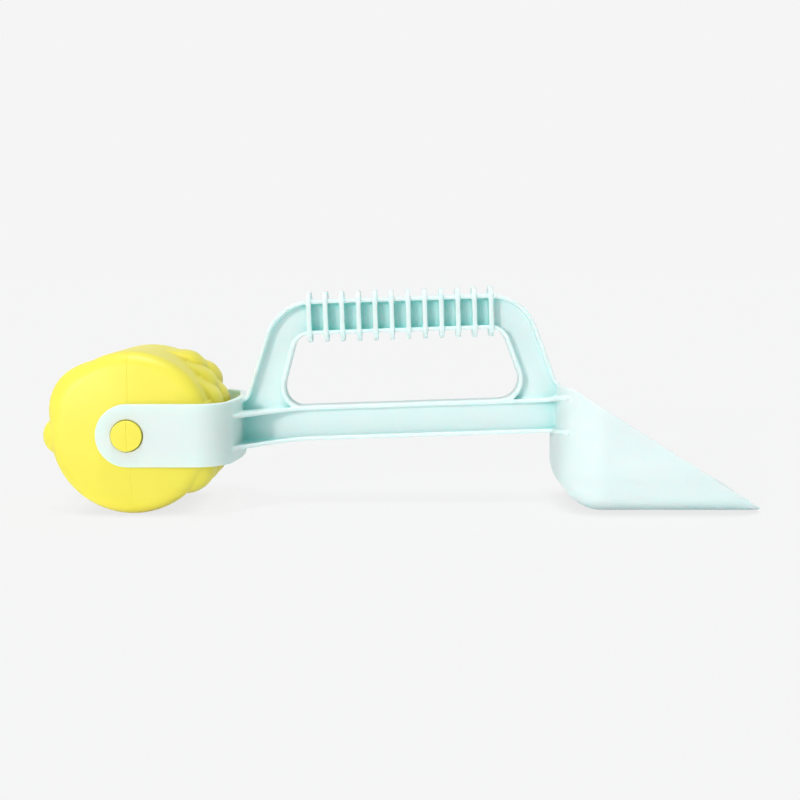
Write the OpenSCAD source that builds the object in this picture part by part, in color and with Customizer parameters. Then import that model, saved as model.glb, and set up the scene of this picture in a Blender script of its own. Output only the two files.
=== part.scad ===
// Sand roller and scoop: a hand frame with a scoop on one end and a turning print drum on the other.
// Lengths are in millimetres and angles in degrees. +X runs from the drum to the scoop's lip, +Z is up,
// and the origin lies on the ground under the middle of the whole toy.

/* [Drum] */
// Diameter of the plain drum between its raised motifs
drum_d = 86.5; // [80:0.5:100]
// Length of the drum between the middles of its crowned ends
drum_len = 80; // [70:0.5:95]
// Radius of the rounded rim at each end
rim_r = 6; // [4:0.25:8]
// Bulge of each end from its rim to its middle
end_crown = 2.5; // [1:0.25:4]
// Wall of the hollow drum
drum_wall = 2; // [1.2:0.1:3]
// Height of the raised motifs above the drum
relief_h = 5; // [3:0.25:6]
// Diameter of the stub axles
stub_d = 16.2; // [12:0.1:20]
// Length of each stub axle outside the fork
stub_proud = 1.6; // [1:0.1:4]
// Bevel round the end of each stub axle
stub_bevel = 0.5; // [0.2:0.1:0.8]

/* [Motifs] */
// Radius of one fish scale
scale_r = 12.5; // [10:0.5:14]
// Sideways distance between fish scales
scale_pitch = 23; // [18:0.5:24]
// Angle round the drum from one row of scales to the next
scale_row = 17.5; // [14:0.5:19]
// Length of the scallop from hinge to rim
scallop_len = 25; // [18:0.5:28]
// Spread of the scallop's ribs
scallop_spread = 90; // [70:5:110]
// Length of a starfish arm
star_arm = 14.5; // [12:0.5:15]
// Diameter of the largest bubble
bubble_d = 17; // [14:0.5:18]

/* [Fork] */
// Play between each drum end and its fork arm
side_play = 1; // [0.5:0.1:2]
// Play between the motifs and the bridge of the fork
bridge_play = 3; // [1.5:0.1:6]
// Thickness of the fork
fork_wall = 3; // [2:0.1:4]
// Height of the fork's band
fork_h = 33; // [28:0.2:40]
// Outside radius of the fork's corners
fork_corner_r = 18; // [10:0.5:20]
// Clearance all round a stub axle in its hole
bore_clear = 0.08; // [0.03:0.01:0.1]

/* [Beam] */
// Length of the beam from fork to scoop
beam_len = 173; // [155:1:200]
// Rise of the beam and the grip towards the scoop
tilt = 1.9; // [0:0.1:2.5]
// Distance from the axle down to the beam's middle line
beam_drop = 1.1; // [0:0.1:3]
// Clear height of the web between the flanges
web_h = 14.8; // [11:0.1:16]
// Thickness of the web
web_t = 2.5; // [2:0.1:4]
// Thickness of the flanges
flange_t = 2.1; // [1.5:0.1:2.5]
// Width of the flanges
flange_w = 14; // [10:0.5:18]
// Plan radius where the flanges widen into the fork
fork_flare_r = 42; // [30:1:50]
// Plan radius where the flanges widen into their collar on the scoop
scoop_flare_r = 5; // [3:0.5:8]
// Width of the flanges' collar round the scoop's corners
collar_w = 2.5; // [1.5:0.1:4]
// Angle of the scoop's corner that the collar follows
collar_turn = 40; // [20:5:60]

/* [Handle] */
// Height of the finger gap between beam and grip
finger_gap = 39; // [34:0.5:50]
// Height of the grip
grip_h = 18.8; // [16:0.2:22]
// Width of the leg next to the drum
drum_leg_w = 17; // [13:0.5:20]
// Width of the leg next to the scoop
scoop_leg_w = 18.2; // [13:0.5:20]
// Lean-in of the drum leg from the fork to the grip's upper corner
drum_shoulder = 23.2; // [18:0.2:28]
// Lean-in of the scoop leg from the scoop to the grip's upper corner
scoop_shoulder = 15.6; // [12:0.2:28]
// Outside radius of the handle's upper corners
shoulder_r = 27; // [22:0.5:30]
// Radius of the finger gap's upper corners
gap_top_r = 9; // [5:0.5:11]
// Radius of the finger gap's lower corners
gap_foot_r = 11; // [6:0.5:13]
// Step between the drum leg's foot and the fork's bridge
foot_step = 2; // [1:0.1:4]
// Reach of the scoop leg's foot over the top of the back wall
foot_reach = 1.4; // [0:0.1:1.5]
// Hollow radius at each leg's foot
foot_r = 5; // [3:0.25:6]

/* [Grip ribs] */
// Number of ribs on the grip
rib_n = 12; // [8:1:12]
// Shift of the ribs from the middle of the grip towards the drum
rib_shift = 0.7; // [0:0.1:2]
// Distance between ribs
rib_pitch = 9; // [8:0.1:9.2]
// Height of a rib
rib_h = 27.5; // [25:0.25:30]
// How far a rib stands out beyond the grip's flanges
rib_lap = 1.2; // [1:0.1:3]
// Radius of a rib's corners
rib_corner_r = 5; // [3:0.25:5]
// Thickness of a rib
rib_t = 2; // [1.5:0.1:3]

/* [Scoop] */
// Length of the scoop from its back wall to its lip
scoop_len = 107; // [95:0.5:130]
// Width of the scoop
scoop_w = 84.5; // [76:0.5:96]
// Height of the scoop's back wall
scoop_h = 67; // [64:0.5:80]
// Length of the level rim behind the slanting rim
rim_level = 5; // [4:0.5:20]
// Height of the blunt lip
lip_h = 2.4; // [2:0.1:4]
// Thickness of the scoop's walls
scoop_wall = 2; // [1.5:0.1:2.5]
// Outside radius of the scoop's corners and bottom edges
scoop_r = 23.5; // [16:0.5:26]

/* [Hidden] */
$fn = 96;

mint = [0.86, 0.96, 0.95];
yellow = [0.98, 0.93, 0.35];

// Room for cuts that run past the faces they cut
over = 5;
// Length left off where a rounded foot thins out to nothing
feather = 1.5;
// Angle left off where a flange's flare thins out on the fork
flare_blunt = 6;
// Drop of a motif's outer parts below its highest part
lower = 0.6;
// Steps in one quarter turn of a worked-out arc
quarter_steps = 12;

// Drum, fork, beam and scoop in a row along X
drum_r = drum_d / 2;
drum_reach = drum_r + relief_h;
bridge_reach = drum_reach + bridge_play + fork_wall;
total_len = drum_reach + bridge_reach + beam_len + scoop_len;
axle_x = drum_reach - total_len / 2;
axle_z = drum_r;
bridge_x = axle_x + bridge_reach;
scoop_x = bridge_x + beam_len;

// Fork
fork_inner = drum_len / 2 + side_play;
fork_half = fork_inner + fork_wall;
fork_low = axle_z - fork_h / 2;
fork_high = axle_z + fork_h / 2;
corner_x = bridge_x - fork_corner_r;
corner_y = fork_half - fork_corner_r;
bore_r = stub_d / 2 + bore_clear;

// Drum profile: a crown of radius crown_r meets the rim's arc without a corner
rim_centre = drum_r - rim_r;
rim_half = drum_len / 2 - end_crown - rim_r;
crown_link = (rim_centre * rim_centre + end_crown * end_crown) / (2 * end_crown);
crown_r = rim_r + crown_link;
crown_y = rim_half + end_crown - crown_link;
crown_angle = asin(rim_centre / crown_link);

// Beam and handle in the tilted plane: u runs along the beam from the axle, v stands square to it
beam_half = web_h / 2 + flange_t;
fork_u = bridge_reach;
scoop_u = bridge_reach + beam_len;
gap_mid = beam_half + finger_gap / 2;
grip_low = beam_half + finger_gap;
grip_mid = grip_low + grip_h / 2;
grip_top = grip_low + grip_h;
drum_foot = [fork_u + foot_step, tilted_v(bridge_x, fork_high)];
scoop_foot = [scoop_u + foot_reach, tilted_v(scoop_x, scoop_h)];
drum_corner = [fork_u + drum_shoulder, grip_top];
scoop_corner = [scoop_u - scoop_shoulder, grip_top];
drum_lean = (drum_corner[0] - drum_foot[0]) / (grip_top - drum_foot[1]);
scoop_lean = (scoop_foot[0] - scoop_corner[0]) / (grip_top - scoop_foot[1]);
rib_middle = (drum_corner[0] + scoop_corner[0]) / 2 - rib_shift;
ribbed_half = rib_n * rib_pitch / 2;
rib_deep = flange_w + 2 * rib_lap;

// Outer outline of the handle as [u, v, corner radius]
handle_outline = [
    [fork_u - scoop_r, 0, 0],
    [fork_u - scoop_r, drum_foot[1], 0],
    [drum_foot[0], drum_foot[1], foot_r],
    [drum_corner[0], drum_corner[1], shoulder_r],
    [scoop_corner[0], scoop_corner[1], shoulder_r],
    [scoop_foot[0], scoop_foot[1], foot_r],
    [scoop_u + scoop_r, scoop_foot[1], 0],
    [scoop_u + scoop_r, 0, 0]
];

// Outline of the finger gap as [u, v, corner radius]
gap_outline = [
    [drum_inside(beam_half), beam_half, gap_foot_r],
    [drum_inside(grip_low), grip_low, gap_top_r],
    [scoop_inside(grip_low), grip_low, gap_top_r],
    [scoop_inside(beam_half), beam_half, gap_foot_r]
];

// Height v of a point of the upright plane in the tilted one
function tilted_v(x, z) = (z - axle_z + beam_drop) * cos(tilt) - (x - axle_x) * sin(tilt);

// Inner edge of each leg at height v
function drum_inside(v) =
    drum_corner[0] - (grip_top - v) * drum_lean + drum_leg_w * norm([1, drum_lean]);
function scoop_inside(v) =
    scoop_corner[0] + (grip_top - v) * scoop_lean - scoop_leg_w * norm([1, scoop_lean]);

// Points of an arc about a centre from angle a to angle b
function arc(centre, r, a, b) =
    let (steps = max(2, round(quarter_steps * abs(b - a) / 90)))
    [for (i = [0:steps]) let (t = a + (b - a) * i / steps) centre + r * [cos(t), sin(t)]];

// Closed outline with its corners rounded; p holds [u, v, corner radius]
function rounded(p) = [
    for (i = [0:len(p) - 1]) each corner_points(
        flat(p[(i + len(p) - 1) % len(p)]), flat(p[i]), flat(p[(i + 1) % len(p)]), p[i][2])
];
function flat(q) = [q[0], q[1]];
function unit(q) = q / norm(q);
function corner_points(before, at, after, r) =
    r == 0 ? [at] :
    let (
        d_in = unit(before - at),
        d_out = unit(after - at),
        half = acos(d_in * d_out) / 2,
        centre = at + unit(d_in + d_out) * r / sin(half),
        from = at + d_in * r / tan(half) - centre,
        to = at + d_out * r / tan(half) - centre,
        start = atan2(from[1], from[0]),
        turn = (atan2(to[1], to[0]) - start + 540) % 360 - 180
    )
    arc(centre, r, start, start + turn);

// The outline of clockwise points p moved d to the right of its edges, corner radii following
function inset(p, d) = [
    for (i = [0:len(p) - 1])
        let (
            at = flat(p[i]),
            d_in = unit(at - flat(p[(i + len(p) - 1) % len(p)])),
            d_out = unit(flat(p[(i + 1) % len(p)]) - at),
            n_in = [d_in[1], -d_in[0]],
            n_out = [d_out[1], -d_out[0]],
            bend = d_in[0] * d_out[1] - d_in[1] * d_out[0],
            moved = at + (n_in + n_out) * d / (1 + n_in * n_out)
        )
        [moved[0], moved[1], p[i][2] == 0 ? 0 : p[i][2] + (bend < 0 ? -d : d)]
];

// One long side of a flange in plan, widening to the fork and into a collar on the scoop
function flange_side() =
    let (
        edge = flange_w / 2,
        fork_corner = [fork_u - fork_corner_r, corner_y],
        link = fork_corner_r + fork_flare_r,
        meet = asin((edge + fork_flare_r - corner_y) / link),
        flare = fork_corner + link * [cos(meet), sin(meet)],
        corner = [scoop_u + scoop_r, scoop_w / 2 - scoop_r]
    )
    concat(
        [fork_corner],
        arc(flare, fork_flare_r, 180 + meet + flare_blunt, 270),
        arc([scoop_u - collar_w - scoop_flare_r, edge + scoop_flare_r], scoop_flare_r, 270, 360),
        arc(corner, scoop_r + collar_w, 180, 180 - collar_turn),
        [corner]
    );
function flange_outline() = with_mirror(flange_side());

// Points followed by their mirror image across the first axis, back to the start
function with_mirror(p) = concat(p, [for (i = [len(p) - 1:-1:0]) [p[i][0], -p[i][1]]]);

// Half outline of the drum, moved in by a depth: radius first, then distance along the axle
function drum_half_outline(depth) = concat(
    arc([0, crown_y], crown_r - depth, 90, 90 - crown_angle),
    arc([rim_centre, rim_half], rim_r - depth, 90 - crown_angle, 0)
);
function drum_outline(depth) = with_mirror(drum_half_outline(depth));

// Place of the first scale in a row: the field widens downwards
function first_place(row) = row == 0 ? 1 : row % 2 == 0 || row == 1 ? 0 : -1;

// Point on the drum at an angle round the axle and a place along it, raised by h
function on_drum(angle, y, h) = [(drum_r + h) * cos(angle), y, (drum_r + h) * sin(angle)];

// Angle round the drum that an arc of length s covers
function turn_of(s) = s / drum_r * 180 / PI;

// Draws in the frame of the axle
module at_axle() {
    translate([axle_x, 0, axle_z])
        children();
}

// Draws in the tilted frame of beam and handle
module tilted() {
    at_axle()
        translate([0, 0, -beam_drop])
            rotate([0, -tilt, 0])
                children();
}

// Plate of the given thickness from an outline in the tilted upright plane
module upright(thickness) {
    tilted()
        rotate([90, 0, 0])
            linear_extrude(thickness, center = true)
                children();
}

// Everything between the fork's bridge and the scoop's back wall
module between_ends() {
    translate([bridge_x, -scoop_w, -over])
        cube([beam_len, 2 * scoop_w, total_len]);
}

// Room of the handle: the same, with the top of the scoop's back wall
module above_beam() {
    rotate([90, 0, 0])
        linear_extrude(2 * scoop_w, center = true)
            polygon([
                [bridge_x, 0], [scoop_x, 0], [scoop_x, scoop_h], [scoop_x + scoop_wall, scoop_h],
                [scoop_x + scoop_wall, total_len], [bridge_x, total_len]
            ]);
}

// Solid block with the fork's outside, tall enough to trim what lands on it
module fork_block() {
    linear_extrude(total_len)
        union() {
            translate([axle_x, -fork_half])
                square([corner_x - axle_x, 2 * fork_half]);
            translate([axle_x, -corner_y])
                square([bridge_x - axle_x, 2 * corner_y]);
            for (side = [-1, 1])
                translate([corner_x, side * corner_y])
                    circle(fork_corner_r);
        }
}

// Room of the scoop moved in by a depth, with rounded back corners and bottom edges, open at the lip
module scoop_room(depth) {
    r = scoop_r - depth;
    side = scoop_w / 2 - scoop_r;
    length = scoop_len - scoop_r + over;
    height = scoop_h - scoop_r + over;
    translate([scoop_x + scoop_r, 0, scoop_r]) {
        translate([0, -side - r, 0])
            cube([length, 2 * (side + r), height]);
        translate([0, -side, -r])
            cube([length, 2 * side, r]);
        translate([-r, -side, 0])
            cube([r, 2 * side, height]);
        rotate([90, 0, 0])
            cylinder(2 * side, r, r, center = true);
        for (s = [-1, 1])
            translate([0, s * side, 0]) {
                cylinder(height, r, r);
                rotate([0, 90, 0])
                    cylinder(length, r, r);
                sphere(r);
            }
    }
}

// Side view of the scoop, drawn as a block across its width
module scoop_side_view() {
    rotate([90, 0, 0])
        linear_extrude(2 * scoop_w, center = true)
            polygon([
                [scoop_x, 0], [scoop_x + scoop_len, 0], [scoop_x + scoop_len, lip_h],
                [scoop_x + rim_level, scoop_h], [scoop_x, scoop_h]
            ]);
}

module scoop() {
    color(mint)
        intersection() {
            difference() {
                scoop_room(0);
                scoop_room(scoop_wall);
            }
            scoop_side_view();
        }
}

module beam_web() {
    color(mint)
        intersection() {
            upright(web_t)
                translate([0, -web_h / 2])
                    square([scoop_u + over, web_h]);
            between_ends();
        }
}

// Flange whose lower face is at height v
module flange(v) {
    color(mint)
        difference() {
            tilted()
                translate([0, 0, v])
                    linear_extrude(flange_t)
                        polygon(flange_outline());
            fork_block();
            scoop_room(0);
        }
}

module beam_top_flange() {
    flange(web_h / 2);
}

module beam_bottom_flange() {
    flange(-beam_half);
}

// I-section of the handle, kept where the child outline in the tilted plane covers it
module handle_section() {
    color(mint)
        intersection() {
            union() {
                upright(web_t)
                    difference() {
                        polygon(rounded(inset(handle_outline, flange_t / 2)));
                        polygon(rounded(inset(gap_outline, -flange_t / 2)));
                    }
                upright(flange_w)
                    difference() {
                        polygon(rounded(handle_outline));
                        polygon(rounded(inset(handle_outline, flange_t)));
                    }
                upright(flange_w)
                    difference() {
                        polygon(rounded(inset(gap_outline, -flange_t)));
                        polygon(rounded(gap_outline));
                    }
            }
            upright(2 * flange_w)
                children();
            above_beam();
        }
}

// Leg on one side of the ribbed grip, with its lower corner on the top flange
module handle_leg(side) {
    split = rib_middle + side * ribbed_half;
    end = side < 0 ? 0 : scoop_u + scoop_r;
    inside = side < 0 ? drum_inside(beam_half) : scoop_inside(beam_half);
    lean = side < 0 ? drum_lean : scoop_lean;
    foot_end = inside - side * (gap_foot_r / tan(45 - atan(lean) / 2) - feather);
    handle_section()
        polygon([
            [end, beam_half], [end, grip_top + over], [split, grip_top + over],
            [split, gap_mid], [foot_end, gap_mid], [foot_end, beam_half]
        ]);
}

module drum_side_leg() {
    handle_leg(-1);
}

module scoop_side_leg() {
    handle_leg(1);
}

module grip_bar() {
    handle_section()
        translate([rib_middle - ribbed_half, gap_mid])
            square([2 * ribbed_half, grip_top + over - gap_mid]);
}

// Outline of one rib with round corners, its long way along X
module rib_outline() {
    flat_up = rib_h / 2 - rib_corner_r;
    flat_out = rib_deep / 2 - rib_corner_r;
    square([rib_h, 2 * flat_out], center = true);
    square([2 * flat_up, rib_deep], center = true);
    for (up = [-flat_up, flat_up], out = [-flat_out, flat_out])
        translate([up, out])
            circle(rib_corner_r);
}

module grip_ribs() {
    color(mint)
        difference() {
            tilted()
                for (i = [0:rib_n - 1])
                    translate([rib_middle + (i - (rib_n - 1) / 2) * rib_pitch, 0, grip_mid])
                        rotate([0, 90, 0])
                            linear_extrude(rib_t, center = true)
                                rib_outline();
            grip_bar();
        }
}

module fork_bridge() {
    color(mint)
        translate([0, 0, fork_low])
            linear_extrude(fork_h)
                union() {
                    translate([bridge_x - fork_wall, -corner_y])
                        square([fork_wall, 2 * corner_y]);
                    for (side = [-1, 1])
                        translate([corner_x, side * corner_y])
                            quarter_ring(side);
                }
}

// Rounded corner of the fork in plan
module quarter_ring(side) {
    intersection() {
        difference() {
            circle(fork_corner_r);
            circle(fork_corner_r - fork_wall);
        }
        translate([0, side < 0 ? -fork_corner_r : 0])
            square(fork_corner_r);
    }
}

// Round-ended arm of the fork with the hole for a stub axle
module fork_arm(side) {
    color(mint)
        at_axle()
            translate([0, side * (fork_half - fork_wall / 2), 0])
                rotate([90, 0, 0])
                    linear_extrude(fork_wall, center = true)
                        difference() {
                            union() {
                                circle(fork_h / 2);
                                translate([0, -fork_h / 2])
                                    square([corner_x - axle_x, fork_h]);
                            }
                            circle(bore_r);
                        }
}

module right_fork_arm() {
    fork_arm(-1);
}

module left_fork_arm() {
    fork_arm(1);
}

// The drum's outside as a solid about the Y axis, moved in by a depth
module drum_solid(depth) {
    rotate([90, 0, 0])
        rotate_extrude()
            polygon(drum_outline(depth));
}

module drum_shell() {
    color(yellow)
        at_axle()
            difference() {
                drum_solid(0);
                drum_solid(drum_wall);
            }
}

// Stub axle with a bevelled end, standing on the drum's crown
module stub_axle(side) {
    color(yellow)
        at_axle()
            difference() {
                rotate([side * -90, 0, 0])
                    union() {
                        cylinder(fork_half + stub_proud - stub_bevel, stub_d / 2, stub_d / 2);
                        translate([0, 0, fork_half + stub_proud - stub_bevel])
                            cylinder(stub_bevel, stub_d / 2, stub_d / 2 - stub_bevel);
                    }
                drum_solid(0);
            }
}

module right_stub_axle() {
    stub_axle(-1);
}

module left_stub_axle() {
    stub_axle(1);
}

// Keeps what stands out of the drum
module raised() {
    color(yellow)
        at_axle()
            difference() {
                union()
                    children();
                drum_solid(0);
            }
}

// Round bump of a radius, standing a height out of the drum
module bump(angle, y, r, h) {
    translate(on_drum(angle, y, h - r))
        sphere(r);
}

// Row of bumps from one place on the drum, in a direction across it, swelling or tapering from r to s
module bump_row(angle, y, way, length, count, r, s, h) {
    for (i = [1:count])
        let (
            part = i / count,
            size = r + (s - r) * part
        )
            bump(angle + turn_of(length * part * sin(way)), y + length * part * cos(way),
                size, h * size / max(r, s));
}

// Field of overlapping fish scales on the drum's scoop side, staggered from row to row
module scale_relief() {
    rows = 6;
    first_row = 59;
    raised()
        for (row = [0:rows - 1], place = [first_place(row):1])
            bump(first_row - row * scale_row, (place - (row % 2 == 0 ? 0.5 : 0)) * scale_pitch,
                scale_r, relief_h);
}

// Scallop shell on the drum's upper outer side, its ribs fanning out from the hinge
module scallop_relief() {
    ribs = 5;
    bumps = 3;
    hinge_angle = 143;
    hinge_y = 0;
    hinge_r = 3.5;
    rib_r = 5.5;
    raised() {
        bump(hinge_angle, hinge_y, hinge_r, relief_h / 2);
        for (i = [0:ribs - 1])
            bump_row(hinge_angle, hinge_y, 180 + scallop_spread * (i / (ribs - 1) - 0.5),
                scallop_len, bumps, hinge_r, rib_r, relief_h - lower);
    }
}

// Starfish on the outermost side of the drum
module starfish_relief() {
    arms = 5;
    bumps = 2;
    middle_angle = 180;
    middle_y = rim_half / 4;
    middle_r = 11;
    arm_r = 6;
    tip_r = 3.6;
    first_way = 24;
    raised() {
        bump(middle_angle, middle_y, middle_r, relief_h);
        for (i = [0:arms - 1])
            bump_row(middle_angle, middle_y, first_way + i * 360 / arms, star_arm, bumps, arm_r, tip_r,
                relief_h - lower);
    }
}

// Bubbles scattered between the other motifs, as angle round the drum, place along it and share of the largest
module bubble_relief() {
    bubbles = [
        [183, -0.8, 1], [205, -0.5, 0.58], [216, -0.1, 0.38], [222, 0.6, 0.5]
    ];
    share_out = 0.4;
    raised()
        for (b = bubbles)
            bump(b[0], b[1] * rim_half, b[2] * bubble_d / 2, min(relief_h - lower, b[2] * bubble_d * share_out));
}

scoop();
beam_web();
beam_top_flange();
beam_bottom_flange();
drum_side_leg();
scoop_side_leg();
grip_bar();
grip_ribs();
fork_bridge();
right_fork_arm();
left_fork_arm();
drum_shell();
right_stub_axle();
left_stub_axle();
scale_relief();
scallop_relief();
starfish_relief();
bubble_relief();
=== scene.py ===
import math
import bpy
import numpy as np
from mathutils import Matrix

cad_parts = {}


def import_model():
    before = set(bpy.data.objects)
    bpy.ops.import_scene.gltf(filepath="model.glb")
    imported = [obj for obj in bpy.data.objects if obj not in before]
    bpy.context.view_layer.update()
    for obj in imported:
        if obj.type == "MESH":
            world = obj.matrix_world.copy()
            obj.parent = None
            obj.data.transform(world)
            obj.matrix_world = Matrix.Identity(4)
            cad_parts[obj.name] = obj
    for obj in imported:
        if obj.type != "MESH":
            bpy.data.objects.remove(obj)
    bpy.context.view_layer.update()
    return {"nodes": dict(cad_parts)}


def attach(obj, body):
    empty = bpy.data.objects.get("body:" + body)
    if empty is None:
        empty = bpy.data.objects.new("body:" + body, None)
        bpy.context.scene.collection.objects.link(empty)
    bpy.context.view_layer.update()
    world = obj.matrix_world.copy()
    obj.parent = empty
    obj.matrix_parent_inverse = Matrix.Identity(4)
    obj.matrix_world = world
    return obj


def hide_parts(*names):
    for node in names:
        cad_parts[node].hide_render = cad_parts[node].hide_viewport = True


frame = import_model()
nodes = frame["nodes"]

MM = 0.001

# Names of the CAD nodes that the two mouldings stand for
FRAME_NODES = [
    "scoop", "beam_web", "beam_top_flange", "beam_bottom_flange", "drum_side_leg", "scoop_side_leg",
    "grip_bar", "grip_ribs", "fork_bridge", "right_fork_arm", "left_fork_arm",
]
DRUM_NODES = ["drum_shell", "scale_relief", "scallop_relief", "starfish_relief", "bubble_relief"]

# Drum and stub axles in millimetres, as in the CAD apart from the softer rim
AXLE_X, AXLE_Z = -143.0, 43.25
DRUM_R, DRUM_HALF, RIM_R, CROWN = 43.25, 40.0, 8.6, 2.5
RIM_HALF = DRUM_HALF - CROWN - RIM_R
DRUM_COLUMNS, CROWN_ROWS, RIM_ROWS, TUBE_ROWS = 1000, 40, 28, 190
CAP_SHARE = 0.04
MOTIF_SOFTENING = 2
STUB_R, STUB_END, STUB_EDGE, STUB_CROWN = 8.1, 45.6, 0.7, 0.15
STUB_RINGS = (37.5, 40.0, 42.5)
STUB_COLUMNS, STUB_EDGE_ROWS, STUB_FACE_ROWS = 128, 9, 10
STUB_CAP_SHARE = 0.05

# Scales: angle of the thickest place in degrees, place along the axle, length and fullness of the free end
SCALES = (
    (53, 11.5, 9.0, 0.5),
    (35, 0, 9.0, 0.5), (38.5, 23, 9.0, 0.5),
    (20.5, -11.5, 9.0, 0.5), (20.5, 11.5, 9.0, 0.5),
    (2.5, -23, 9.0, 0.5), (2.5, 0, 9.0, 0.5), (2.5, 23, 9.0, 0.5),
    (-16, -11.5, 9.0, 0.5), (-16, 11.5, 9.0, 0.5),
    (-31, -23, 15.0, 0.9), (-31, 0, 15.0, 0.9), (-31, 23, 15.0, 0.9),
)
SCALE_HALF, SCALE_HEIGHT = 11.1, 5.3
ROOT_LENGTH, ROOT_FULL, ROOT_SHARE = 15.0, 1.0, 0.15

# Scallop: a smooth lump with faint ribs that spread from a hinge
SCALLOP_ANGLE, SCALLOP_Y, SCALLOP_HEIGHT, SCALLOP_POWER = 147, -25.0, 4.3, 1.5
SCALLOP_ACROSS, SCALLOP_ALONG = 23.0, 24.0
FAN_Y, FAN_WAVES, FAN_DEPTH, FAN_FADE = -1.0, 22, 0.16, (-24.0, -15.0)
HINGE_Y, HINGE_HEIGHT, HINGE_R2, HINGE_POWER = -2.0, 2.6, 20.0, 0.6

# Starfish: a round middle and five tapered arms
STAR_ANGLE, STAR_Y, STAR_HEIGHT, STAR_R2, STAR_POWER = 180, 7.875, 4.9, 85.0, 0.6
ARM_COUNT, ARM_FIRST, ARM_LENGTH, ARM_TIP = 5, 24, 18.0, 5.0
ARM_HALF, ARM_LEAST, ARM_TAPER = 6.0, 0.1, 25.0
ARM_HEIGHT, ARM_FALL = 4.5, 0.35

# Bubbles: angle in degrees, place along the axle, radius, height
BUBBLES = ((183, -25.2, 9.4, 4.9), (205, -15.75, 5.2, 3.8), (216, -3.15, 3.4, 2.5), (222, 18.9, 4.6, 3.3))
BUBBLE_POWER = 0.75

# Bends of the frame's sections in millimetres, with the ranges over which they come and go
FLANGE_LIFT = {"beam_top_flange": 3.3, "beam_bottom_flange": 1.9}
LIFT_X, LIFT_Y, LIFT_RUN = 70.0, 7.0, 23.0
CORNER_X, CORNER_Y, CORNER_FROM_X, CORNER_TURN = 107.75, 18.75, 80.0, 0.86
FORK_SINK, FLANGE_SINK_X, WEB_SINK_X, WEB_SINK_Z = 1.2, (50, 82), -60.0, 48.0
LEG_OUT, LEG_OUT_X, LEG_OUT_Z = 2.2, ((-86, -72), (-62, -50)), (66, 95)
LEG_SINK, LEG_SINK_X, LEG_SINK_Z = 1.4, (46, 78), (60, 72)
BORE_EDGE, BORE_RING = 0.5, 0.3
GRIP_TILT, RIB_SWELL, RIB_GAP = math.radians(1.9), 1.28, 3.0
RIM_DIP, RIM_DIP_Y, RIM_DIP_Z, RIM_KEPT_X = 0.7, (30, 40), (4, 12), ((104, 114), (140, 150))
CORNER_DIP, CORNER_DIP_X, CORNER_DIP_Y = 5.6, ((60, 80), (88, 108)), (18, 33)
CORNER_DIP_Z, CORNER_DIP_RISE = 42.0, 22.0
BOW, BOW_HALF, BOW_FADE_X = 1.2, 36.0, (-88, -70)
BACK, BACK_X, BACK_Y = 1.7, (-122, -98), (6, 28)
VOXEL, SOFT_FACTOR, SOFT_PASSES = 0.0004, 0.5, 5

# Plastic: scales of its noises, shares of its bump, roughness, light under the surface
CLOUD_SCALE, PATCH_SCALE, GRAIN_SCALE, SWELL_SCALE = 38.0, 55.0, 2600.0, 140.0
CLOUD_FROM, CLOUD_TO = 0.32, 0.68
GRAIN_SHARE, SWELL_SHARE, BUMP_STRENGTH, BUMP_DEPTH = 0.05, 0.6, 0.35, 0.0003
ROUGH_FROM, ROUGH_TO = 0.37, 0.48
UNDER_RADIUS, UNDER_SCALE = (0.3, 1.0, 0.95), 0.007
PLASTIC_IOR = 1.49
FRAME_SEAM_HALF, FRAME_SEAM_SHARE = 0.0003, 0.5
DRUM_SEAM_HALF, DRUM_SEAM_SHARE, DRUM_SEAM_ANGLE = 0.00035, 1.8, math.radians(91)
SHADE_SAMPLES = 8

# Floor, world and camera
FLOOR_HALF, FLOOR_Z = 30.0, -0.0002
FLOOR_PLAIN, FLOOR_SHADOWED = 0.92, 0.06
# Painted contact shadow on the floor: the reach of its occlusion and the glow's brightness from closed to
# open
PAINTED_SHADOW_REACH, PAINTED_SHADOW_STOPS = 0.014, ((0.2, 0.775), (0.8, 0.858))
SKY_COLOUR, SKY_STRENGTH, WALL = (0.90, 1.03, 1.02), 0.36, 0.913
AIM_HEIGHT = 0.05
SENSOR, PHOTO_WIDTH, FOCAL_PIXELS, CLIP_START = 36, 800, 1222.7, 0.01
CAMERA_X, CAMERA_Y, CAMERA_Z, CAMERA_DOWN = -1.21, -671.8, 128.5, 6.04


# Helpers for objects and meshes
def new_object(name, data):
    obj = bpy.data.objects.new(name, data)
    bpy.context.scene.collection.objects.link(obj)
    return obj


def points_of(mesh):
    co = np.empty(len(mesh.vertices) * 3)
    mesh.vertices.foreach_get("co", co)
    return co.reshape(-1, 3)


def circle(columns):
    return np.linspace(0, 2 * math.pi, columns, endpoint=False)[None, :]


def about_axle(radius, y, angle):
    """Grid of points in metres about the drum's axle, one row for each y and one column for each angle."""
    x = AXLE_X + radius * np.cos(angle)
    z = AXLE_Z + radius * np.sin(angle)
    return np.stack([x, y + 0 * angle, z], axis=-1) * MM


def mesh_from_grid(name, points):
    """Mesh of a grid of points [rows, columns, 3] whose columns close up and whose end rows are capped."""
    rows, cols, _ = points.shape
    index = np.arange(rows * cols).reshape(rows, cols)
    beside = np.roll(index, -1, axis=1)
    quads = np.stack([index[:-1], beside[:-1], beside[1:], index[1:]], axis=-1).reshape(-1, 4)
    ends = np.array([points[0].mean(axis=0), points[-1].mean(axis=0)])
    verts = np.concatenate([points.reshape(-1, 3), ends])
    faces = quads.tolist()
    first, last = rows * cols, rows * cols + 1
    ring = index[0].tolist()
    faces += [[first, ring[(i + 1) % cols], ring[i]] for i in range(cols)]
    ring = index[-1].tolist()
    faces += [[last, ring[i], ring[(i + 1) % cols]] for i in range(cols)]
    mesh = bpy.data.meshes.new(name)
    mesh.from_pydata(verts.tolist(), [], faces)
    mesh.validate()
    mesh.shade_smooth()
    return mesh


def step(value, low, high):
    t = np.clip((value - low) / (high - low), 0, 1)
    return t * t * (3 - 2 * t)


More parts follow.
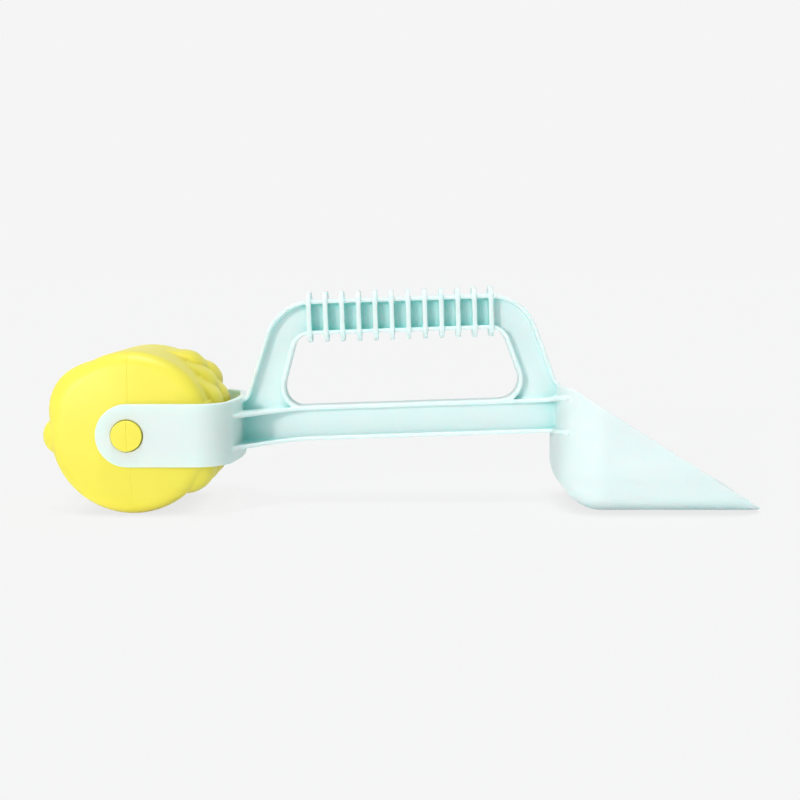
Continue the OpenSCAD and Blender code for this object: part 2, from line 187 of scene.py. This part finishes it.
def band(value, rise, fall):
    """0 outside two ranges and 1 between them."""
    return step(value, *rise) * (1 - step(value, *fall))


# Helpers for shader nodes
def grey(value):
    return (value, value, value)


def add(tree, kind, **values):
    node = tree.nodes.new(kind)
    for key, value in values.items():
        setattr(node, key, value)
    return node


def math_node(tree, op, *values):
    """Math node whose inputs are numbers or other nodes' outputs."""
    node = add(tree, "ShaderNodeMath", operation=op)
    for socket, value in zip(node.inputs, values):
        if isinstance(value, (int, float)):
            socket.default_value = value
        else:
            tree.links.new(value, socket)
    return node.outputs[0]


def noise(tree, coords, scale, detail):
    node = add(tree, "ShaderNodeTexNoise")
    node.inputs["Scale"].default_value = scale
    node.inputs["Detail"].default_value = detail
    tree.links.new(coords, node.inputs["Vector"])
    return node.outputs["Fac"]


def ramp(tree, fac, low, high):
    """Colour ramp between two stops, each a place and a colour."""
    node = add(tree, "ShaderNodeValToRGB")
    for element, (place, colour) in zip(node.color_ramp.elements, (low, high)):
        element.position = place
        element.color = (*colour, 1.0)
    tree.links.new(fac, node.inputs["Fac"])
    return node.outputs["Color"]


def openness(tree, reach, **values):
    """How open the surroundings are within a reach in metres."""
    node = add(tree, "ShaderNodeAmbientOcclusion", samples=SHADE_SAMPLES, **values)
    node.inputs["Distance"].default_value = reach
    return node.outputs["AO"]


def seen_directly(tree):
    """1 for camera, glossy and transmission rays."""
    path = add(tree, "ShaderNodeLightPath")
    glossy = math_node(tree, "MAXIMUM", path.outputs["Is Camera Ray"], path.outputs["Is Glossy Ray"])
    return math_node(tree, "MAXIMUM", glossy, path.outputs["Is Transmission Ray"])


def line_at(tree, distance, half_width):
    """1 on a line, falling to 0 at half_width metres from it."""
    near = math_node(tree, "DIVIDE", math_node(tree, "ABSOLUTE", distance), half_width)
    return math_node(tree, "MAXIMUM", math_node(tree, "SUBTRACT", 1.0, near), 0.0)


# Materials
def frame_seam(tree, xyz):
    """Mould seam along the frame's middle plane."""
    return math_node(tree, "MULTIPLY", line_at(tree, xyz["Y"], FRAME_SEAM_HALF), FRAME_SEAM_SHARE)


def drum_seam(tree, xyz):
    """Mould seam on a plane through the axle."""
    off_x = math_node(tree, "SUBTRACT", xyz["X"], AXLE_X * MM)
    off_z = math_node(tree, "SUBTRACT", xyz["Z"], AXLE_Z * MM)
    share_x = math_node(tree, "MULTIPLY", off_x, math.sin(DRUM_SEAM_ANGLE))
    share_z = math_node(tree, "MULTIPLY", off_z, -math.cos(DRUM_SEAM_ANGLE))
    across = math_node(tree, "ADD", share_x, share_z)
    return math_node(tree, "MULTIPLY", line_at(tree, across, DRUM_SEAM_HALF), DRUM_SEAM_SHARE)


def plastic(name, pale, deep, painted_shade, reach, closed, spec, under, seam):
    """Satin moulded plastic: a little clouding, painted shade that deepens the colour where ambient
    occlusion finds hollows and creases, fine grain and a mould seam.
    """
    mat = bpy.data.materials.new(name)
    mat.use_nodes = True
    tree = mat.node_tree
    bsdf = tree.nodes["Principled BSDF"]
    coords = add(tree, "ShaderNodeTexCoord").outputs["Object"]

    clouds = noise(tree, coords, CLOUD_SCALE, 4.0)
    # Painted shade: the base colour turns to the shade colour where ambient occlusion finds the surroundings
    # closed in
    open_share = openness(tree, reach, only_local=True)
    colour = add(tree, "ShaderNodeMix", data_type="RGBA")
    factor, low, high = colour.inputs[0], colour.inputs[6], colour.inputs[7]
    tree.links.new(ramp(tree, open_share, (closed[0], grey(0.0)), (closed[1], grey(1.0))), factor)
    low.default_value = (*painted_shade, 1.0)
    tree.links.new(ramp(tree, clouds, (CLOUD_FROM, deep), (CLOUD_TO, pale)), high)
    tree.links.new(colour.outputs[2], bsdf.inputs["Base Color"])

    bsdf.inputs["Subsurface Weight"].default_value = under
    bsdf.inputs["Subsurface Radius"].default_value = UNDER_RADIUS
    bsdf.inputs["Subsurface Scale"].default_value = UNDER_SCALE
    bsdf.inputs["IOR"].default_value = PLASTIC_IOR
    bsdf.inputs["Specular IOR Level"].default_value = spec

    rough = add(tree, "ShaderNodeMapRange")
    rough.inputs["To Min"].default_value = ROUGH_FROM
    rough.inputs["To Max"].default_value = ROUGH_TO
    tree.links.new(noise(tree, coords, PATCH_SCALE, 3.0), rough.inputs["Value"])
    tree.links.new(rough.outputs["Result"], bsdf.inputs["Roughness"])

    grain = math_node(tree, "MULTIPLY", noise(tree, coords, GRAIN_SCALE, 2.0), GRAIN_SHARE)
    swell = math_node(tree, "MULTIPLY", noise(tree, coords, SWELL_SCALE, 2.0), SWELL_SHARE)
    place = add(tree, "ShaderNodeSeparateXYZ")
    tree.links.new(coords, place.inputs[0])
    height = math_node(tree, "ADD", math_node(tree, "ADD", grain, swell), seam(tree, place.outputs))
    bump = add(tree, "ShaderNodeBump")
    bump.inputs["Strength"].default_value = BUMP_STRENGTH
    bump.inputs["Distance"].default_value = BUMP_DEPTH
    tree.links.new(height, bump.inputs["Height"])
    tree.links.new(bump.outputs["Normal"], bsdf.inputs["Normal"])
    return mat


# The mint's shade colour is painted shade: a deep teal laid into recesses, between the grip's ribs and under
# the flanges
mint = plastic(
    "mint_plastic",
    pale=(0.77, 0.895, 0.887), deep=(0.75, 0.88, 0.872), painted_shade=(0.19, 0.72, 0.68),
    reach=0.02, closed=(0.04, 0.48), spec=0.3, under=0.55, seam=frame_seam,
)
# The yellow's shade colour is painted shade: a dark olive laid into the creases between the scales and
# motifs
yellow = plastic(
    "yellow_plastic",
    pale=(0.915, 0.798, 0.085), deep=(0.895, 0.778, 0.07), painted_shade=(0.40, 0.31, 0.003),
    reach=0.006, closed=(0.42, 0.93), spec=0.5, under=0.12, seam=drum_seam,
)


# Frame moulding: the CAD sections, a little bent as the photo shows, grown into one soft-edged moulding
def dipped(x, y, z):
    """Heights with the scoop's far back corner lowered."""
    high = np.clip((z - CORNER_DIP_Z) / CORNER_DIP_RISE, 0, 1)
    return z - CORNER_DIP * step(y, *CORNER_DIP_Y) * band(x, *CORNER_DIP_X) * high


def bend_flange(x, y, z, lift):
    """A flange's ends rise round the scoop's corners and stop short of them, and it sinks at the fork."""
    side = np.abs(y)
    z = z + np.where(x > LIFT_X, lift * np.clip((side - LIFT_Y) / LIFT_RUN, 0, 1), 0)
    ring = (x > CORNER_FROM_X) & (side > CORNER_Y)
    turn = CORNER_TURN * np.arctan2(side - CORNER_Y, CORNER_X - x)
    far = np.hypot(side - CORNER_Y, CORNER_X - x)
    x = np.where(ring, CORNER_X - far * np.cos(turn), x)
    y = np.where(ring, np.sign(y) * (CORNER_Y + far * np.sin(turn)), y)
    z = z - FORK_SINK * step(-x, *FLANGE_SINK_X)
    return x, y, dipped(x, y, z)


def bend_web(x, y, z):
    """The web's lower edge at the fork sinks with the flange."""
    return x, y, z - np.where((x < WEB_SINK_X) & (z < WEB_SINK_Z), FORK_SINK, 0)


def bend_leg(x, y, z):
    """The foot of the leg next to the drum stands a little nearer the grip and sinks with the flange."""
    x = x + LEG_OUT * band(x, *LEG_OUT_X) * (1 - step(z, *LEG_OUT_Z))
    z = z - LEG_SINK * step(-x, *LEG_SINK_X) * (1 - step(z, *LEG_SINK_Z))
    return x, y, z


def bend_arm(x, y, z):
    """The bore opens a little, so that a dark ring shows round the stub axle."""
    far = np.hypot(x - AXLE_X, z - AXLE_Z)
    wide = np.where(far < STUB_R + BORE_EDGE, (far + BORE_RING) / far, 1)
    return AXLE_X + (x - AXLE_X) * wide, y, AXLE_Z + (z - AXLE_Z) * wide


def bend_ribs(x, y, z):
    """Each rib swells about its own middle along the tilted grip."""
    along = x * math.cos(GRIP_TILT) + z * math.sin(GRIP_TILT)
    order = np.argsort(along)
    rib = np.empty(len(along), int)
    rib[order] = np.concatenate([[0], np.cumsum(np.diff(along[order]) > RIB_GAP)])
    spans = [along[rib == i] for i in range(rib.max() + 1)]
    middle = np.array([span.min() + span.max() for span in spans])[rib] / 2
    swell = (RIB_SWELL - 1) * (along - middle)
    return x + swell * math.cos(GRIP_TILT), y, z + swell * math.sin(GRIP_TILT)


def bend_scoop(x, y, z):
    """The far rim lies lower apart from its middle, and the far back corner dips."""
    z = z - RIM_DIP * step(y, *RIM_DIP_Y) * (1 - band(x, *RIM_KEPT_X)) * step(z, *RIM_DIP_Z)
    return x, y, dipped(x, y, z)


BENDS = {
    "beam_web": bend_web, "drum_side_leg": bend_leg, "grip_ribs": bend_ribs, "scoop": bend_scoop,
    "right_fork_arm": bend_arm, "left_fork_arm": bend_arm,
}


def bent(name, co):
    x, y, z = (co / MM).T
    if name in FLANGE_LIFT:
        x, y, z = bend_flange(x, y, z, FLANGE_LIFT[name])
    elif name in BENDS:
        x, y, z = BENDS[name](x, y, z)
    return np.stack([x, y, z], axis=-1) * MM


def bowed(co):
    """Bow the fork's bridge: its middle away from the drum and its corners towards it."""
    x, y, z = (co / MM).T
    out = BOW * np.clip(1 - (y / BOW_HALF) ** 2, 0, 1)
    back = BACK * step(np.abs(y), *BACK_Y) * step(x, *BACK_X)
    x = x + (out - back) * (1 - step(x, *BOW_FADE_X))
    return np.stack([x, y, z], axis=-1) * MM


def frame_moulding():
    verts, faces, count = [], [], 0
    for name in FRAME_NODES:
        mesh = nodes[name].data
        verts.append(bent(name, points_of(mesh)))
        faces += [[i + count for i in p.vertices] for p in mesh.polygons]
        count += len(mesh.vertices)
    rough = bpy.data.meshes.new("frame_moulding")
    rough.from_pydata(np.concatenate(verts).tolist(), [], faces)
    obj = new_object("frame_moulding", rough)
    grow = obj.modifiers.new("one_moulding", "REMESH")
    grow.mode = "VOXEL"
    grow.voxel_size = VOXEL
    soft = obj.modifiers.new("soft_edges", "SMOOTH")
    soft.factor = SOFT_FACTOR
    soft.iterations = SOFT_PASSES
    done = bpy.data.meshes.new_from_object(obj.evaluated_get(bpy.context.evaluated_depsgraph_get()))
    obj.modifiers.clear()
    obj.data = done
    bpy.data.meshes.remove(rough)
    done.vertices.foreach_set("co", bowed(points_of(done)).ravel())
    done.update()
    done.name = "frame_moulding"
    done.shade_smooth()
    return obj


moulding = frame_moulding()
moulding.data.materials.append(mint)
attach(moulding, "frame")
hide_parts(*FRAME_NODES)


# Drum: a turned outline raised by its motifs
def drum_profile():
    """Rows of radius, place along the axle, outward share of the normal and unrolled place, end to end."""
    rim_c = DRUM_R - RIM_R
    link = (rim_c ** 2 + CROWN ** 2) / (2 * CROWN)
    crown_r = RIM_R + link
    crown_y = RIM_HALF + CROWN - link
    turn = math.asin(rim_c / link)
    crown_flat = RIM_HALF + RIM_R * (math.pi / 2 - turn)
    rows = []
    for t in np.linspace(CAP_SHARE, 1, CROWN_ROWS):
        a = turn * t
        rows.append((crown_r * math.sin(a), crown_y + crown_r * math.cos(a), math.sin(a),
                     crown_flat + crown_r * (turn - a)))
    for t in np.linspace(0, 1, RIM_ROWS)[1:]:
        a = turn + (math.pi / 2 - turn) * t
        rows.append((rim_c + RIM_R * math.sin(a), RIM_HALF + RIM_R * math.cos(a), math.sin(a),
                     RIM_HALF + RIM_R * (math.pi / 2 - a)))
    far = np.array(rows)
    near = far * (1, -1, 1, -1)
    y = np.linspace(-RIM_HALF, RIM_HALF, TUBE_ROWS)[1:-1]
    tube = np.stack([np.full_like(y, DRUM_R), y, np.ones_like(y), y], axis=-1)
    return np.concatenate([near, tube, far[::-1]])


def turned(angle, middle):
    """Arc length in mm from a motif's middle angle, the shorter way round."""
    return (np.mod(angle - math.radians(middle) + math.pi, 2 * math.pi) - math.pi) * DRUM_R


def mound(d2, height, power):
    """Round mound over the squared share of the way to its edge; a lower power is fuller."""
    return height * np.clip(1 - d2, 0, 1) ** power


def scales(angle, y):
    out = np.zeros_like(angle + y)
    for middle, place, length, power in SCALES:
        down = -turned(angle, middle)
        d2 = ((y - place) / SCALE_HALF) ** 2 + (np.clip(down, 0, None) / length) ** 2
        rise = ROOT_SHARE + (1 - ROOT_SHARE) * step(down, -ROOT_LENGTH, -ROOT_FULL)
        scale = mound(d2, SCALE_HEIGHT, power) * rise
        out = np.maximum(out, np.where(down > -ROOT_LENGTH, scale, 0))
    return out


def scallop(angle, y):
    across = turned(angle, SCALLOP_ANGLE)
    d2 = (across / SCALLOP_ACROSS) ** 2 + ((y - SCALLOP_Y) / SCALLOP_ALONG) ** 2
    way = np.arctan2(across, FAN_Y - y)
    fan = 1 - FAN_DEPTH * (0.5 - 0.5 * np.cos(way * FAN_WAVES)) * step(y, *FAN_FADE)
    hinge = mound((across ** 2 + (y - HINGE_Y) ** 2) / HINGE_R2, HINGE_HEIGHT, HINGE_POWER)
    return np.maximum(mound(d2, SCALLOP_HEIGHT, SCALLOP_POWER) * fan, hinge)


def starfish(angle, y):
    across, along = turned(angle, STAR_ANGLE), y - STAR_Y
    out = mound((across ** 2 + along ** 2) / STAR_R2, STAR_HEIGHT, STAR_POWER)
    for i in range(ARM_COUNT):
        way = math.radians(ARM_FIRST + 360 / ARM_COUNT * i)
        t = along * math.cos(way) + across * math.sin(way)
        w = -along * math.sin(way) + across * math.cos(way)
        half = np.clip(ARM_HALF * (1 - t / ARM_TAPER), ARM_LEAST, ARM_HALF)
        tip = np.clip(1 - (np.clip(t - ARM_LENGTH + ARM_TIP, 0, None) / ARM_TIP) ** 2, 0, 1)
        top = ARM_HEIGHT * (1 - ARM_FALL * t / ARM_LENGTH)
        arm = top * np.sqrt(np.clip(1 - (w / half) ** 2, 0, 1) * tip)
        out = np.maximum(out, np.where(t > 0, arm, 0))
    return out


def bubbles(angle, y):
    out = np.zeros_like(angle + y)
    for middle, place, radius, height in BUBBLES:
        d2 = (turned(angle, middle) ** 2 + (y - place) ** 2) / radius ** 2
        out = np.maximum(out, mound(d2, height, BUBBLE_POWER))
    return out


def drum_moulding():
    angle = circle(DRUM_COLUMNS)
    radius, y, outward, flat = np.split(drum_profile(), 4, axis=1)
    raised = np.maximum.reduce([motif(angle, flat) for motif in (scales, scallop, starfish, bubbles)])
    for _ in range(MOTIF_SOFTENING):
        raised = (np.roll(raised, 1, 1) + 2 * raised + np.roll(raised, -1, 1)) / 4
        raised[1:-1] = (raised[:-2] + 2 * raised[1:-1] + raised[2:]) / 4
    points = about_axle(radius + raised * outward, y, angle)
    return new_object("drum_moulding", mesh_from_grid("drum_moulding", points))


drum = drum_moulding()
drum.data.materials.append(yellow)
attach(drum, "roller")
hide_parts(*DRUM_NODES)


# Stub axles with a rounded edge and a slightly crowned face
def stub(name, side):
    inner = STUB_R - STUB_EDGE
    outline = [(STUB_R, y) for y in (*STUB_RINGS, STUB_END - STUB_EDGE)]
    for t in np.linspace(0, 1, STUB_EDGE_ROWS)[1:]:
        a = math.radians(90 * t)
        outline.append((inner + STUB_EDGE * math.cos(a),
                        STUB_END - STUB_EDGE + STUB_EDGE * math.sin(a) - STUB_CROWN * t))
    for t in np.linspace(1, STUB_CAP_SHARE, STUB_FACE_ROWS)[1:]:
        outline.append((inner * t, STUB_END - STUB_CROWN * t * t))
    radius, y = np.split(np.array(outline), 2, axis=1)
    obj = new_object(name, mesh_from_grid(name, about_axle(radius, side * y, side * circle(STUB_COLUMNS))))
    obj.data.materials.append(yellow)
    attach(obj, "roller")
    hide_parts("left_stub_axle" if side > 0 else "right_stub_axle")


stub("right_stub", -1)
stub("left_stub", 1)


# Floor, light and camera
def by_ray(tree, other, direct, output):
    """Join one shader for direct looks and another for all other rays to a tree's output."""
    pick = add(tree, "ShaderNodeMixShader")
    tree.links.new(seen_directly(tree), pick.inputs[0])
    tree.links.new(other.outputs[0], pick.inputs[1])
    tree.links.new(direct.outputs[0], pick.inputs[2])
    tree.links.new(pick.outputs[0], add(tree, output).inputs["Surface"])


def floor():
    """Pale floor: it glows to the camera like the backdrop and keeps a faint real shadow; its glow darkens
    near the object, a painted contact shadow.
    """
    corners = [(-1, -1), (1, -1), (1, 1), (-1, 1)]
    mesh = bpy.data.meshes.new("floor")
    mesh.from_pydata([(FLOOR_HALF * x, FLOOR_HALF * y, FLOOR_Z) for x, y in corners], [], [(0, 1, 2, 3)])
    obj = new_object("floor", mesh)
    mat = bpy.data.materials.new("pale_floor")
    mat.use_nodes = True
    tree = mat.node_tree
    tree.nodes.clear()
    plain = add(tree, "ShaderNodeBsdfDiffuse")
    plain.inputs["Color"].default_value = (*grey(FLOOR_PLAIN), 1)
    shadowed = add(tree, "ShaderNodeBsdfDiffuse")
    shadowed.inputs["Color"].default_value = (*grey(FLOOR_SHADOWED), 1)
    glow = add(tree, "ShaderNodeEmission")
    # Painted contact shadow: the glow's colour darkens where ambient occlusion finds the object close by
    stops = [(place, grey(value)) for place, value in PAINTED_SHADOW_STOPS]
    tree.links.new(ramp(tree, openness(tree, PAINTED_SHADOW_REACH), *stops), glow.inputs["Color"])
    both = add(tree, "ShaderNodeAddShader")
    tree.links.new(shadowed.outputs[0], both.inputs[0])
    tree.links.new(glow.outputs[0], both.inputs[1])
    by_ray(tree, plain, both, "ShaderNodeOutputMaterial")
    mesh.materials.append(mat)


def world():
    studio = bpy.data.worlds.new("studio")
    bpy.context.scene.world = studio
    studio.use_nodes = True
    tree = studio.node_tree
    tree.nodes.clear()
    sky = add(tree, "ShaderNodeBackground")
    sky.inputs["Color"].default_value = (*SKY_COLOUR, 1)
    sky.inputs["Strength"].default_value = SKY_STRENGTH
    wall = add(tree, "ShaderNodeBackground")
    wall.inputs["Color"].default_value = (*grey(WALL), 1)
    by_ray(tree, sky, wall, "ShaderNodeOutputWorld")


def aim(obj, x, y, z):
    """Turn a lamp so that it shines from the direction x, y, z."""
    obj.rotation_euler = (math.acos(z / math.sqrt(x * x + y * y + z * z)), 0, math.atan2(x, -y))


def sun(name, direction, strength, spread):
    data = bpy.data.lights.new(name, "SUN")
    data.energy = strength
    data.angle = math.radians(spread)
    aim(new_object(name, data), *direction)


def softbox(name, place, size, power):
    data = bpy.data.lights.new(name, "AREA")
    data.size = size
    data.energy = power
    obj = new_object(name, data)
    obj.location = place
    x, y, z = place
    aim(obj, x, y, z - AIM_HEIGHT)


def camera():
    """The camera that fits the photo."""
    data = bpy.data.cameras.new("camera")
    data.sensor_width = SENSOR
    data.sensor_fit = "HORIZONTAL"
    data.lens = FOCAL_PIXELS / PHOTO_WIDTH * SENSOR
    data.clip_start = CLIP_START
    obj = new_object("camera", data)
    obj.location = (CAMERA_X * MM, CAMERA_Y * MM, CAMERA_Z * MM)
    obj.rotation_euler = (math.radians(90 - CAMERA_DOWN), 0, 0)
    bpy.context.scene.camera = obj


floor()
world()
sun("key", direction=(-0.55, -0.83, 0.23), strength=1.08, spread=5)
sun("top", direction=(-0.04, -0.2, 1.0), strength=1.6, spread=14)
softbox("softbox", place=(-0.74, -1.8, 0.42), size=0.6, power=3.8)
camera()
bpy.context.scene.view_settings.view_transform = "Standard"
